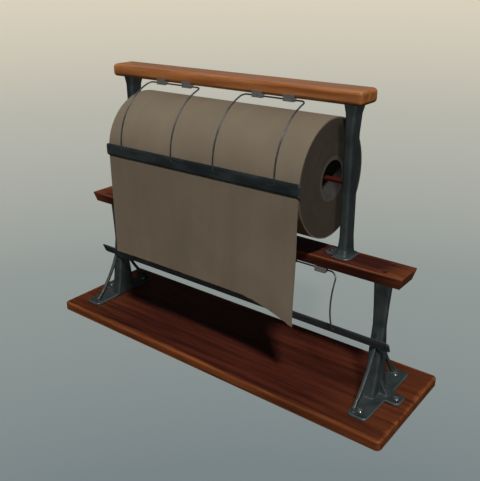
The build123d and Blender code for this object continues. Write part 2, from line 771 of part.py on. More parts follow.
# Wooden plugs over the top bar's screws
with BuildPart() as plugs:
    with Locations(*[(x, y, bar_top) for x, y in upright_points]):
        plug_height = bar_screw_depth - bar_screw_head_height - fit_gap
        Cylinder(plug_diameter / 2, plug_height, align=down_from)
finish(plugs, "top_bar_plugs")

print("roll axis", roll_z, "top", bar_top, "boards", base_length, middle_length, bar_length)
print("upper pivot", upper_pivot_y, upper_pivot_z, "arm radius", upper_arm_radius)
print("lower pivot", lower_pivot_y, lower_pivot_z, "lower dip", lower_dip_angle)
print("tear line", tail_back_y, tear_z, "lower blade", lower_arms["left"][0].blade_front)
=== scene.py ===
import math
import random

import bmesh
import bpy
import numpy as np
from mathutils import Matrix, Vector


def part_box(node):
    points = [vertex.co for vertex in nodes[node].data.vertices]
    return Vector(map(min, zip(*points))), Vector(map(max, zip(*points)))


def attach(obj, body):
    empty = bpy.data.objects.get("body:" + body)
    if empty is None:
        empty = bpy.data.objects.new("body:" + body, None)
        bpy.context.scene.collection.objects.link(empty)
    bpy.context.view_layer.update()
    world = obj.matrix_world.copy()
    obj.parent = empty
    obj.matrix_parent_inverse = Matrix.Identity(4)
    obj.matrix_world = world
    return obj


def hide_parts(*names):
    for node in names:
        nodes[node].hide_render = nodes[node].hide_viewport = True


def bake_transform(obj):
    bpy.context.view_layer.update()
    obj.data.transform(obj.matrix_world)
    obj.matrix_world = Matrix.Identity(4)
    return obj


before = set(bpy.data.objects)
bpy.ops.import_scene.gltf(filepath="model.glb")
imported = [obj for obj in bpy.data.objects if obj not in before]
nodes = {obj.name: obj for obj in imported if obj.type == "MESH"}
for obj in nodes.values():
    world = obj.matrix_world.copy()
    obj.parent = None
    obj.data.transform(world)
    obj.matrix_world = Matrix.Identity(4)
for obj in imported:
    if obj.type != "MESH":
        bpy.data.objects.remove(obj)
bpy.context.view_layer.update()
scene = bpy.context.scene


# Places read from the solids

roll_low, roll_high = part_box("paper_roll")
roll_radius = (roll_high.z - roll_low.z) / 2
roll_z = (roll_high.z + roll_low.z) / 2
roll_length = roll_high.x - roll_low.x
core_low, core_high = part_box("roll_core")
core_radius = (core_high.z - core_low.z) / 2
tail_low, tail_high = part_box("paper_tail")
rod_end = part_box("spindle_rod")[1].x


# Node trees

class Value:
    """An output socket; arithmetic on it adds Math nodes to its tree."""

    def __init__(self, graph, socket):
        self.graph = graph
        self.socket = socket

    def __add__(self, other):
        return self.graph.maths("ADD", self, other)

    def __sub__(self, other):
        return self.graph.maths("SUBTRACT", self, other)

    def __rsub__(self, other):
        return self.graph.maths("SUBTRACT", other, self)

    def __mul__(self, other):
        return self.graph.maths("MULTIPLY", self, other)

    def __truediv__(self, other):
        return self.graph.maths("DIVIDE", self, other)

    def __rtruediv__(self, other):
        return self.graph.maths("DIVIDE", other, self)

    def __pow__(self, other):
        return self.graph.maths("POWER", self, other)

    __radd__ = __add__
    __rmul__ = __mul__

    def low(self, other):
        return self.graph.maths("MINIMUM", self, other)

    def high(self, other):
        return self.graph.maths("MAXIMUM", self, other)

    def size(self):
        return self.graph.maths("ABSOLUTE", self)

    def sine(self):
        return self.graph.maths("SINE", self)

    def cosine(self):
        return self.graph.maths("COSINE", self)

    def floor(self):
        return self.graph.maths("FLOOR", self)

    def root(self):
        return self.graph.maths("SQRT", self)


class Graph:
    """Adds nodes to one node tree."""

    def __init__(self, tree):
        self.tree = tree

    def node(self, kind, settings=None, inputs=None, out=0):
        made = self.tree.nodes.new(kind)
        for name, value in (settings or {}).items():
            if name == "stops":
                self.set_stops(made.color_ramp, value)
            else:
                setattr(made, name, value)
        for name, value in (inputs or {}).items():
            self.feed(made.inputs[name], value)
        return Value(self, made.outputs[out])

    def set_stops(self, ramp, stops):
        while len(ramp.elements) < len(stops):
            ramp.elements.new(1)
        for element, (place, colour) in zip(ramp.elements, stops):
            element.position = place
            element.color = (*colour, 1)

    def feed(self, socket, value):
        if isinstance(value, Value):
            self.tree.links.new(value.socket, socket)
        else:
            socket.default_value = value

    def maths(self, operation, *terms):
        return self.node("ShaderNodeMath", {"operation": operation}, dict(enumerate(terms)))

    def vector(self, x, y, z):
        return self.node("ShaderNodeCombineXYZ", None, {"X": x, "Y": y, "Z": z})

    def axes(self, place):
        parts = self.node("ShaderNodeSeparateXYZ", None, {"Vector": place})
        return [Value(self, socket) for socket in parts.socket.node.outputs]

    def step(self, value, start, end):
        """0 at start, 1 at end, smooth between them and held beyond them."""
        places = {"Value": value, "From Min": start, "From Max": end}
        return self.node("ShaderNodeMapRange", {"interpolation_type": "SMOOTHSTEP"}, places)


class Finish(Graph):
    """A procedural material built round one Principled shader."""

    def __init__(self, name, **constants):
        self.material = bpy.data.materials.new(name)
        self.material.use_nodes = True
        super().__init__(self.material.node_tree)
        self.shader = self.tree.nodes["Principled BSDF"]
        for socket, value in constants.items():
            self.shader.inputs[socket.replace("_", " ")].default_value = value
        self.place = self.node("ShaderNodeTexCoord", out="Object")
        self.x, self.y, self.z = self.axes(self.place)

    def set(self, socket, value):
        self.feed(self.shader.inputs[socket], value)

    def stretched(self, scale, place=None):
        operands = {0: place or self.place, 1: scale}
        return self.node("ShaderNodeVectorMath", {"operation": "MULTIPLY"}, operands)

    def noise(self, scale, detail=3.0, rough=0.5, place=None):
        """Noise between 0 and 1; scale is features per metre, one number or one for each axis."""
        if not hasattr(scale, "__len__"):
            scale = (scale, scale, scale)
        inputs = {"Vector": self.stretched(scale, place), "Scale": 1, "Detail": detail, "Roughness": rough}
        return self.node("ShaderNodeTexNoise", None, inputs)

    def mix(self, factor, first, second):
        inputs = {0: factor, 6: self.tone(first), 7: self.tone(second)}
        return self.node("ShaderNodeMix", {"data_type": "RGBA"}, inputs, 2)

    def tone(self, colour):
        return colour if isinstance(colour, Value) else (*colour, 1)

    def ramp(self, factor, *stops):
        return self.node("ShaderNodeValToRGB", {"stops": stops}, {"Fac": factor})

    def attribute(self, name):
        return self.node("ShaderNodeAttribute", {"attribute_name": name}, out="Fac")

    def bump(self, height, distance, strength):
        inputs = {"Height": height, "Distance": distance, "Strength": strength}
        self.set("Normal", self.node("ShaderNodeBump", None, inputs))

    def roll_radius(self):
        """Distance from the roll's axis."""
        z = self.z - roll_z
        return (self.y * self.y + z * z).root()


# Wood

def face_gaps(finish, low, high):
    """Distances from the nearer of a box's two faces along each axis."""
    gaps = []
    for value, start, end in zip((finish.x, finish.y, finish.z), low, high):
        gaps.append((end - start) / 2 - (value - (start + end) / 2).size())
    return gaps


def wood(name, node, dark, light, rubbed, wear_width, flank, end_wear, pith, ring_pitch, top_sheen=None):
    """Oiled timber cut along X, its rings round a pith line, rubbed paler at its edges and flanks.

    rubbed holds two tones; end_wear holds a reach and the strengths at the left and right ends; pith is a
    place in Y and Z; top_sheen is a strength and a colour for a painted sheen that lightens the upper face
    where light falls on it."""
    low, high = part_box(node)
    finish = Finish(name, Coat_Roughness=0.35, IOR=1.45, Specular_IOR_Level=0.3)
    gap_x, gap_y, gap_z = face_gaps(finish, low, high)
    drift = finish.noise((1.3, 9, 9), 3) - 0.5
    y = finish.y - pith[0]
    z = finish.z - pith[1]
    ring = (y * y + z * z).root() / ring_pitch + drift * 3.2
    late = finish.step((ring * (2 * math.pi)).sine(), -0.6, 1.0)
    fibre = finish.noise((5, 380, 380), 4, 0.6)
    pore = finish.step(finish.noise((34, 900, 900), 2), 0.63, 0.72)
    cloud = finish.noise((2.4, 17, 17), 4, 0.6)
    streak = finish.noise((4.5, 95, 95), 4, 0.62)
    shade = finish.step(cloud * 0.5 + streak * 0.65 + fibre * 0.2 + late * 0.05, 0.5, 0.92)
    colour = finish.mix(shade, dark, light)
    # Painted sheen: the upper face is made lighter, as light falling on it from above would make it
    if top_sheen:
        strength, sheen_tone = top_sheen
        colour = finish.mix(finish.step(high.z - finish.z, 0.003, 0.0005) * strength, colour, sheen_tone)
    scuff = finish.noise((7, 45, 45), 4, 0.65)
    patch = finish.noise((6, 30, 30), 3, 0.55)
    edge = gap_x.low(gap_y).high(gap_x.high(gap_y).low(gap_z))
    ragged = wear_width * 1.6
    near_edge = edge + (scuff - 0.5) * ragged + (patch - 0.5) * ragged
    wear = finish.step(near_edge, wear_width, 0.0) * 0.85
    side = finish.step(gap_x.low(gap_y), 0.0022, 0.0004)
    wear = wear.high(side * finish.step(patch, 0.3, 0.5) * flank)
    reach, left_strength, right_strength = end_wear
    for gap, strength in ((finish.x - low.x, left_strength), (high.x - finish.x, right_strength)):
        wear = wear.high(finish.step(gap + (patch - 0.5) * reach, reach, 0.0) * strength)
    colour = finish.mix(wear, colour, finish.mix(finish.step(streak, 0.35, 0.65), rubbed[0], rubbed[1]))
    knot = finish.step(finish.noise((3.6, 120, 120), 4, 0.58), 0.58, 0.68) * 0.6
    colour = finish.mix(knot.high(pore * 0.45), colour, [value * 0.4 for value in dark])
    finish.set("Base Color", colour)
    finish.set("Roughness", 0.5 + (scuff - 0.5) * 0.16 + pore * 0.1)
    finish.set("Coat Weight", 0.05 - wear * 0.04)
    finish.bump(fibre * 0.4 - pore, 0.0002, 0.5)
    return finish.material


base_wood = wood(
    "stained base wood", "base_board", dark=(0.028, 0.0050, 0.0027), light=(0.092, 0.0195, 0.0094),
    rubbed=((0.165, 0.045, 0.013), (0.29, 0.088, 0.024)), wear_width=0.013, flank=0.65,
    end_wear=(0.2, 0.28, 0.28), pith=(0.03, -0.12), ring_pitch=0.016)
middle_wood = wood(
    "stained shelf wood", "middle_board", dark=(0.040, 0.0085, 0.0055), light=(0.11, 0.026, 0.015),
    rubbed=((0.15, 0.042, 0.017), (0.26, 0.08, 0.027)), wear_width=0.005, flank=0.2,
    end_wear=(0.06, 0.75, 0.75), pith=(-0.05, 0.1), ring_pitch=0.013)
# The bar's upper face carries a painted sheen
bar_wood = wood(
    "honey bar wood", "top_bar", dark=(0.22, 0.058, 0.014), light=(0.52, 0.175, 0.050),
    rubbed=((0.42, 0.16, 0.050), (0.60, 0.29, 0.11)), wear_width=0.006, flank=0.3,
    end_wear=(0.04, 1.0, 0.2), pith=(0.06, 0.47), ring_pitch=0.011, top_sheen=(0.7, (0.42, 0.225, 0.14)))


def turned_wood():
    """Bare wood with the lines of the lathe."""
    finish = Finish("bare turned hub wood", IOR=1.45)
    lines = finish.noise(1, 3, place=finish.vector(finish.roll_radius() * 900, finish.x * 60, 0))
    grain = finish.noise((30, 30, 240), 4)
    finish.set("Base Color", finish.mix(grain * 0.7 + lines * 0.3, (0.10, 0.06, 0.032), (0.20, 0.13, 0.075)))
    finish.set("Roughness", 0.62 + (grain - 0.5) * 0.2)
    finish.bump(lines, 0.0002, 0.6)
    return finish.material


hub_wood = turned_wood()


# Metal

def casting_finish():
    """Sand-cast iron under old dark paint, rubbed lighter on the edges."""
    finish = Finish("dark cast iron", Metallic=0.25, IOR=1.6)
    sand = finish.noise(900, 3, 0.6)
    cloud = finish.noise(28, 5, 0.6)
    rub = finish.step(finish.attribute("rub") + (cloud - 0.5) * 0.5, 0.25, 0.9)
    colour = finish.mix(finish.step(cloud, 0.3, 0.7), (0.023, 0.031, 0.032), (0.047, 0.063, 0.064))
    dust = finish.step(finish.noise(11, 4), 0.5, 0.75) * 0.35
    colour = finish.mix(dust, colour, (0.061, 0.067, 0.062))
    finish.set("Base Color", finish.mix(rub * 0.6, colour, (0.105, 0.128, 0.13)))
    finish.set("Roughness", 0.56 + (cloud - 0.5) * 0.25 - rub * 0.12)
    finish.bump(sand + cloud * 1.5, 0.0004, 0.55)
    return finish.material


def steel(name, dark, light, roughness, metallic, streak, patch_scale, stain=None):
    """Drawn or rolled steel with streaks along one axis and a few stains."""
    finish = Finish(name, Metallic=metallic)
    lines = finish.noise(streak, 4, 0.65)
    patch = finish.noise(patch_scale, 4, 0.6)
    colour = finish.mix(finish.step(lines * 0.5 + patch * 0.5, 0.3, 0.7), dark, light)
    if stain:
        spots = finish.step(finish.noise(patch_scale * 2.3, 5, 0.7), 0.56, 0.72)
        colour = finish.mix(spots * 0.6, colour, stain)
    finish.set("Base Color", colour)
    finish.set("Roughness", roughness + (patch - 0.5) * 0.3)
    finish.bump(lines, 0.0001, 0.35)
    return finish.material


def blade_finish():
    """Blued steel, its blue worn through along the edges."""
    finish = Finish("blued blade steel", Metallic=0.2)
    lines = finish.noise((9, 500, 500), 4, 0.6)
    patch = finish.noise((16, 60, 60), 5, 0.65)
    colour = finish.mix(finish.step(patch, 0.35, 0.7), (0.023, 0.029, 0.031), (0.048, 0.060, 0.063))
    rub = finish.step(finish.attribute("rub") + (patch - 0.5) * 0.8, 0.35, 0.9)
    colour = finish.mix(rub * 0.55, colour, (0.14, 0.15, 0.155))
    finish.set("Base Color", colour)
    finish.set("Roughness", 0.46 + (patch - 0.5) * 0.3 - rub * 0.1)
    finish.bump(lines, 0.0001, 0.4)
    return finish.material


def rod_finish():
    """Dark red paint, rubbed to bare steel where the rod lies in its seats."""
    finish = Finish("dark red rod paint", IOR=1.5)
    cloud = finish.noise((60, 220, 220), 4, 0.6)
    seat = finish.x.size() + (cloud - 0.5) * 0.012
    bare = finish.step(seat, rod_end - 0.008, rod_end - 0.004)
    colour = finish.mix(cloud, (0.042, 0.005, 0.004), (0.092, 0.010, 0.008))
    finish.set("Base Color", finish.mix(bare, colour, (0.26, 0.26, 0.25)))
    finish.set("Metallic", bare)
    finish.set("Roughness", 0.38 + (cloud - 0.5) * 0.2)
    finish.bump(cloud, 0.0002, 0.4)
    return finish.material


cast_iron = casting_finish()
blade_steel = blade_finish()
rod_paint = rod_finish()
wire_steel = steel(
    "dull wire steel", (0.055, 0.062, 0.066), (0.15, 0.165, 0.175), roughness=0.42, metallic=0.7,
    streak=(60, 500, 60), patch_scale=90)
clip_steel = steel(
    "pressed clip steel", (0.14, 0.142, 0.137), (0.25, 0.252, 0.243), roughness=0.5, metallic=0.2,
    streak=(500, 40, 500), patch_scale=120, stain=(0.10, 0.075, 0.055))
bright_screw = steel(
    "bright zinc screws", (0.42, 0.43, 0.44), (0.66, 0.67, 0.67), roughness=0.3, metallic=0.9,
    streak=(900, 90, 900), patch_scale=260)
stained_screw = steel(
    "stained screw heads", (0.016, 0.006, 0.004), (0.042, 0.018, 0.013), roughness=0.5, metallic=0.2,
    streak=(700, 90, 700), patch_scale=260)
dark_screw = steel(
    "dark oiled screws", (0.035, 0.033, 0.032), (0.085, 0.082, 0.08), roughness=0.42, metallic=0.7,
    streak=(700, 90, 700), patch_scale=260)


# Paper

def paper_finish(dark, light):
    """Unbleached wrapping paper: short fibres, flecks, soft streaks along its length."""
    finish = Finish("kraft wrapping paper", IOR=1.42)
    along = finish.node("ShaderNodeUVMap", {"uv_map": "flat sheet"})
    streak = finish.noise((26, 1.4, 1), 4, 0.6, along)
    fibre = finish.noise((2600, 700, 1), 3, 0.7, along)
    cloud = finish.noise((9, 9, 1), 4, 0.6, along)
    fleck = finish.step(finish.noise((900, 380, 1), 2, 0.5, along), 0.67, 0.76)
    shade = finish.step(streak * 0.3 + cloud * 0.5 + fibre * 0.35, 0.34, 0.84)
    colour = finish.mix(shade, dark, light)
    colour = finish.mix(fleck * 0.25, colour, [value * 0.5 for value in dark])
    finish.set("Base Color", colour)
    finish.set("Roughness", 0.72 + (cloud - 0.5) * 0.2)
    finish.bump(fibre * 0.5 + streak, 0.0002, 0.35)
    return finish.material


def roll_finish():
    """The wound edges of the paper: rings of slightly different tone round the roll."""
    finish = Finish("wound kraft paper", IOR=1.42)
    z = finish.z - roll_z
    radius = finish.roll_radius()
    fine = finish.noise(1, 2, place=finish.vector(radius * 1500, finish.y * 6, z * 6))
    broad = finish.noise(1, 3, place=finish.vector(radius * 150, finish.y * 4, z * 4))
    cloud = finish.noise(30, 4, 0.6)
    shade = finish.step(fine * 0.3 + broad * 0.4 + cloud * 0.4, 0.3, 0.85)
    rim = finish.step(radius, roll_radius - 0.0025, roll_radius - 0.0005)
    colour = finish.mix(shade, (0.050, 0.039, 0.027), (0.076, 0.061, 0.043))
    finish.set("Base Color", finish.mix(rim, colour, (0.2, 0.162, 0.115)))
    finish.set("Roughness", 0.82 + (cloud - 0.5) * 0.15)
    finish.bump(fine * 0.5 + broad, 0.0003, 0.4)
    return finish.material


def core_finish():
    """Spirally wound board, with its helical seam and paler cut ends."""
    finish = Finish("wound core board", IOR=1.42)
    z = finish.z - roll_z
    turn = finish.maths("ARCTAN2", z, finish.y) / (2 * math.pi)
    seam_pitch = 0.1
    spiral = finish.x / seam_pitch + turn
    seam = (spiral - spiral.floor() - 0.5).size()
    line = finish.step(seam, 0.49, 0.5)
    cloud = finish.noise(45, 5, 0.65)
    ply = finish.noise(1, 2, place=finish.vector(finish.roll_radius() * 1400, finish.y * 5, z * 5))
    shade = finish.step(cloud * 0.6 + ply * 0.4, 0.3, 0.7)
    colour = finish.mix(shade, (0.024, 0.023, 0.020), (0.045, 0.042, 0.038))
    colour = finish.mix(line * 0.6, colour, (0.025, 0.021, 0.017))
    end = finish.step(core_high.x - finish.x.size(), 0.0008, 0.0002)
    finish.set("Base Color", finish.mix(end, colour, (0.098, 0.082, 0.065)))
    finish.set("Roughness", 0.8 + (cloud - 0.5) * 0.2)
    finish.bump(cloud - line, 0.0004, 0.5)
    return finish.material


kraft_paper = paper_finish((0.192, 0.152, 0.105), (0.25, 0.202, 0.143))
wound_paper = roll_finish()
core_board = core_finish()


# Making pieces

def link(name, mesh):
    piece = bpy.data.objects.new(name, mesh)
    scene.collection.objects.link(piece)
    return piece


def settle(piece):
    """Takes the evaluated mesh as the piece's own, then drops the modifiers."""
    graph = bpy.context.evaluated_depsgraph_get()
    made = bpy.data.meshes.new_from_object(piece.evaluated_get(graph))
    piece.modifiers.clear()
    piece.data = made
    return piece


def show(piece, body, slot, material, *replaced):
    """Gives a finished piece its material and body, and hides the solids that it stands for. The slot is not
    used.
    """
    piece.data.materials.clear()
    piece.data.materials.append(material)
    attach(piece, body)
    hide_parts(*replaced)
    return piece


def weld(mesh, flat_angle=None):
    """Joins a solid's split corners, and its flat triangles where an angle is given."""
    work = bmesh.new()
    work.from_mesh(mesh)
    bmesh.ops.remove_doubles(work, verts=work.verts, dist=2e-6)
    if flat_angle:
        bmesh.ops.dissolve_limit(work, angle_limit=flat_angle, verts=work.verts, edges=work.edges)
    bmesh.ops.recalc_face_normals(work, faces=work.faces)
    work.to_mesh(mesh)
    work.free()


def solid_copy(name, node, flat_angle=None):
    mesh = nodes[node].data.copy()
    mesh.materials.clear()
    weld(mesh, flat_angle)
    return link(name, mesh)


def mark_rub(mesh, gain, passes):
    """Stores how far each vertex stands out from its neighbours, for wear on the edges."""
    count = len(mesh.vertices)
    places = np.empty(count * 3)
    mesh.vertices.foreach_get("co", places)
    places = places.reshape(-1, 3)
    normals = np.empty(count * 3)
    mesh.vertices.foreach_get("normal", normals)
    normals = normals.reshape(-1, 3)
    ends = np.empty(len(mesh.edges) * 2, int)
    mesh.edges.foreach_get("vertices", ends)
    ends = ends.reshape(-1, 2)
    near = np.bincount(ends.ravel(), minlength=count).clip(1)

    def neighbour_mean(values):
        total = np.zeros_like(values)
        np.add.at(total, ends[:, 0], values[ends[:, 1]])
        np.add.at(total, ends[:, 1], values[ends[:, 0]])
        return total / (near[:, None] if values.ndim == 2 else near)

    rub = ((places - neighbour_mean(places)) * normals).sum(1) * gain
    for _ in range(passes):
        rub = (rub + neighbour_mean(rub)) / 2
    layer = mesh.attributes.new("rub", "FLOAT", "POINT")
    layer.data.foreach_set("value", rub.clip(0, 1).astype(np.float32))


# Castings with soft edges

def casting(name, node):
    piece = solid_copy(name, node)
    skin = piece.modifiers.new("skin", "REMESH")
    skin.mode = "VOXEL"
    skin.voxel_size = 0.0013
    soft = piece.modifiers.new("soft edges", "SMOOTH")
    soft.factor = 0.5
    soft.iterations = 5
    settle(piece)
    piece.data.shade_smooth()
    mark_rub(piece.data, gain=9000, passes=2)
    return show(piece, "frame", "cast_iron", cast_iron, node)


castings = []
for side in ("left", "right"):
    castings.append(casting(f"cast_leg_{side}", f"lower_leg_{side}"))
    castings.append(casting(f"cast_upright_{side}", f"upper_upright_{side}"))


# Blades with rounded, rubbed edges

def blade(name, node, body):
    piece = solid_copy(name, node, math.radians(1))
    ease = piece.modifiers.new("eased edges", "BEVEL")
    ease.width = 0.0003
    ease.segments = 2
    ease.angle_limit = math.radians(25)
    settle(piece)
    cut = bmesh.new()
    cut.from_mesh(piece.data)
    bmesh.ops.triangulate(cut, faces=[face for face in cut.faces if len(face.verts) > 4])
    cut.to_mesh(piece.data)
    cut.free()
    mark_blade_edges(piece.data)
    piece.data.shade_flat()
    return show(piece, body, "blade_steel", blade_steel, node)


def mark_blade_edges(mesh):
    """Wear on the narrow faces of the eased edges, not on the flat sides."""
    flat = max(mesh.polygons, key=lambda face: face.area).normal.copy()
    wear = []
    for face in mesh.polygons:
        corners = [mesh.vertices[vertex].co for vertex in face.vertices]
        length = max((first - second).length for first, second in zip(corners, corners[1:] + corners[:1]))
        narrow = face.area < length * 0.0007 and abs(face.normal.dot(flat)) < 0.98
        wear.append(1.0 if narrow else 0.0)
    layer = mesh.attributes.new("rub", "FLOAT", "FACE")
    layer.data.foreach_set("value", wear)


blade("upper_blade", "upper_cutter_blade", "upper_cutter")
lower_blade = blade("lower_blade", "lower_cutter_blade", "lower_cutter")


# Geometry trees

class Shape(Graph):
    """A geometry node tree with named inputs, run on one object and then settled."""

    def __init__(self, name, inputs):
        tree = bpy.data.node_groups.new(name, "GeometryNodeTree")
        super().__init__(tree)
        self.sockets = {}
        tree.interface.new_socket("Geometry", in_out="INPUT", socket_type="NodeSocketGeometry")
        tree.interface.new_socket("Geometry", in_out="OUTPUT", socket_type="NodeSocketGeometry")
        for label, (kind, value) in inputs.items():
            socket = tree.interface.new_socket(label, in_out="INPUT", socket_type=f"NodeSocket{kind}")
            socket.default_value = value
            self.sockets[label] = socket.identifier
        self.source = tree.nodes.new("NodeGroupInput")
        self.target = tree.nodes.new("NodeGroupOutput")

    def given(self, label):
        return Value(self, self.source.outputs[label])

    def end(self, geometry, material):
        solid = self.node("GeometryNodeRealizeInstances", None, {"Geometry": geometry})
        painted = self.node("GeometryNodeSetMaterial", None, {"Geometry": solid, "Material": material})
        self.feed(self.target.inputs["Geometry"], painted)

    def make(self, name, mesh, **inputs):
        piece = link(name, mesh)
        run = piece.modifiers.new(self.tree.name, "NODES")
        run.node_group = self.tree
        for label, value in inputs.items():
            run[self.sockets[label.replace("_", " ")]] = value
        return settle(piece)


def points_mesh(name, places):
    mesh = bpy.data.meshes.new(name)
    mesh.from_pydata([tuple(place) for place in places], [], [])
    return mesh


# The wound roll: rings of paper that stand out by different amounts at each end

def roll_shape(rings, turns):
    """A closed ring swept round X; each wound ring's edges are shifted along X by a seeded amount."""
    shape = Shape("wound roll", {
        "Length": ("Float", 0.4), "Outer Radius": ("Float", 0.1), "Inner Radius": ("Float", 0.04),
        "Height": ("Float", 0.4), "Relief": ("Float", 0.0003), "Seed": ("Int", 1)})
    count = 4 * rings + 1
    sizes = {"Vertices X": turns + 1, "Vertices Y": count, "Size X": 1, "Size Y": 1}
    grid = shape.node("GeometryNodeMeshGrid", None, sizes, "Mesh")
    place = shape.node("GeometryNodeInputPosition")
    across, along, _ = shape.axes(place)
    angle = (across + 0.5) * (2 * math.pi)
    step = ((along + 0.5) * (count - 1) + 0.5).floor()
    side = shape.maths("LESS_THAN", step, 2 * rings - 0.5)
    step = shape.maths("MODULO", step, 4 * rings)
    climb = shape.maths("PINGPONG", step + 0.5, 2 * rings) - 0.5
    ring = ((climb + 1) / 2).floor()
    radius = shape.given("Inner Radius") + ring / rings * (
        shape.given("Outer Radius") - shape.given("Inner Radius"))
    layer = (climb / 2).floor()
    shift = shape.node("FunctionNodeRandomValue", {"data_type": "FLOAT"}, {
        2: -1.0, 3: 0.0, "ID": layer + side * 1000, "Seed": shape.given("Seed")}, 1)
    end = shape.given("Length") / 2 + shift * shape.given("Relief")
    x = end * (side * 2 - 1)
    moved = shape.vector(x, radius * angle.cosine(), radius * angle.sine() + shape.given("Height"))
    swept = shape.node("GeometryNodeSetPosition", None, {"Geometry": grid, "Position": moved})
    closed = shape.node("GeometryNodeMergeByDistance", None, {"Geometry": swept, "Distance": 1e-6})
    shape.end(closed, wound_paper)
    return shape


roll = roll_shape(rings=44, turns=128).make(
    "wound_paper_roll", bpy.data.meshes.new("roll start"), Length=roll_length, Outer_Radius=roll_radius,
    Inner_Radius=core_radius, Height=roll_z, Relief=0.0002, Seed=7)
weld(roll.data)
roll.data.shade_smooth()
roll.data.set_sharp_from_angle(angle=math.radians(40))
show(roll, "paper_roll", "kraft_paper", wound_paper, "paper_roll")


# The sheet: the roll's outer turn, and the end that hangs in front

sheet_width = tail_high.x - tail_low.x
sheet_thickness = 0.0005
sheet_gap = 0.0003
sheet_radius = roll_radius + sheet_gap + sheet_thickness / 2
wrap_angle = math.radians(280)
wrap_length = wrap_angle * sheet_radius
left_edge_height = 0.1983
right_edge_height = 0.2023
drop_left = roll_z - left_edge_height
drop_right_start = roll_z - right_edge_height
drop_corner = roll_z - tail_low.z
droop_length = 0.118
droop_power = 1.7
curl_start = 0.02
curl_forward = 0.008
curl_power = 1.5
loose_from = 0.25
wave_depth = 0.0012
wave_rate = 17
wave_shift = 0.8
tear_depth = 0.0005
columns = 190
wrap_rows = 110
hang_rows = 60


def smooth(value):
    value = min(max(value, 0.0), 1.0)
    return value * value * (3 - 2 * value)


def hang_length(x):
    """Paper below the roll's front, longer towards the drooping right corner."""
    share = (x - tail_low.x) / sheet_width
    straight = drop_left + (drop_right_start - drop_left) * share
    droop = max(0.0, (x - (tail_high.x - droop_length)) / droop_length)
    return straight + (drop_corner - drop_right_start) * droop ** droop_power


def sheet_mesh():
    """One layer of paper from its hidden inner end to the torn edge, with its flat size as a UV map."""
    chance = random.Random(11)
    tear = [chance.uniform(-tear_depth, tear_depth) for _ in range(columns + 1)]
    places, flat = [], []
    for row in range(wrap_rows + hang_rows + 1):
        for column in range(columns + 1):
            x = tail_low.x + sheet_width * column / columns
            if row < wrap_rows:
                angle = wrap_angle * (1 - row / wrap_rows)
                places.append((x, -sheet_radius * math.cos(angle), roll_z + sheet_radius * math.sin(angle)))
                flat.append((x, angle * sheet_radius))
            else:
                share = (row - wrap_rows) / hang_rows
                length = (hang_length(x) + tear[column]) * share
                right = smooth((x - curl_start) / (tail_high.x - curl_start))
                loose = smooth((share - loose_from) / (1 - loose_from))
                wave = wave_depth * math.sin(x * wave_rate + wave_shift) * loose
                y = -sheet_radius - curl_forward * right * loose ** curl_power - wave
                places.append((x, y, roll_z - length))
                flat.append((x, -length))
    faces = []
    for row in range(wrap_rows + hang_rows):
        for column in range(columns):
            first = row * (columns + 1) + column
            faces.append((first, first + columns + 1, first + columns + 2, first + 1))
    mesh = bpy.data.meshes.new("paper sheet")
    mesh.from_pydata(places, [], faces)
    layer = mesh.uv_layers.new(name="flat sheet")
    for loop in mesh.loops:
        layer.data[loop.index].uv = flat[loop.vertex_index]
    return mesh


sheet = link("kraft_paper_sheet", sheet_mesh())
thicken = sheet.modifiers.new("paper thickness", "SOLIDIFY")
thicken.thickness = sheet_thickness
thicken.offset = 0
settle(sheet)
sheet.data.shade_smooth()
sheet.data.set_sharp_from_angle(angle=math.radians(50))
sheet.data.materials.append(kraft_paper)
hangs = [hang_length(tail_low.x + sheet_width * column / columns) for column in range(columns + 1)]
hang_mean = sum(hangs) / len(hangs)
sheet_width * (wrap_length + hang_mean)
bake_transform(sheet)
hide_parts("paper_tail")


# Screws

def solid_places(node):
    """Box of each separate solid in a node, as (low, high) pairs sorted along X then Y."""
    mesh = nodes[node].data.copy()
    weld(mesh)
    work = bmesh.new()
    work.from_mesh(mesh)
    bpy.data.meshes.remove(mesh)
    seen = set()
    boxes = []
    for start in work.verts:
        if start in seen:
            continue
        seen.add(start)
        group, wait = [], [start]
        while wait:
            vertex = wait.pop()
            group.append(vertex.co.copy())
            for edge in vertex.link_edges:
                other = edge.other_vert(vertex)
                if other not in seen:
                    seen.add(other)
                    wait.append(other)
        low = Vector([min(place[axis] for place in group) for axis in range(3)])
        high = Vector([max(place[axis] for place in group) for axis in range(3)])
        boxes.append((low, high))
    work.free()
    return sorted(boxes, key=lambda pair: (round(pair[0].x, 4), round(pair[0].y, 4)))


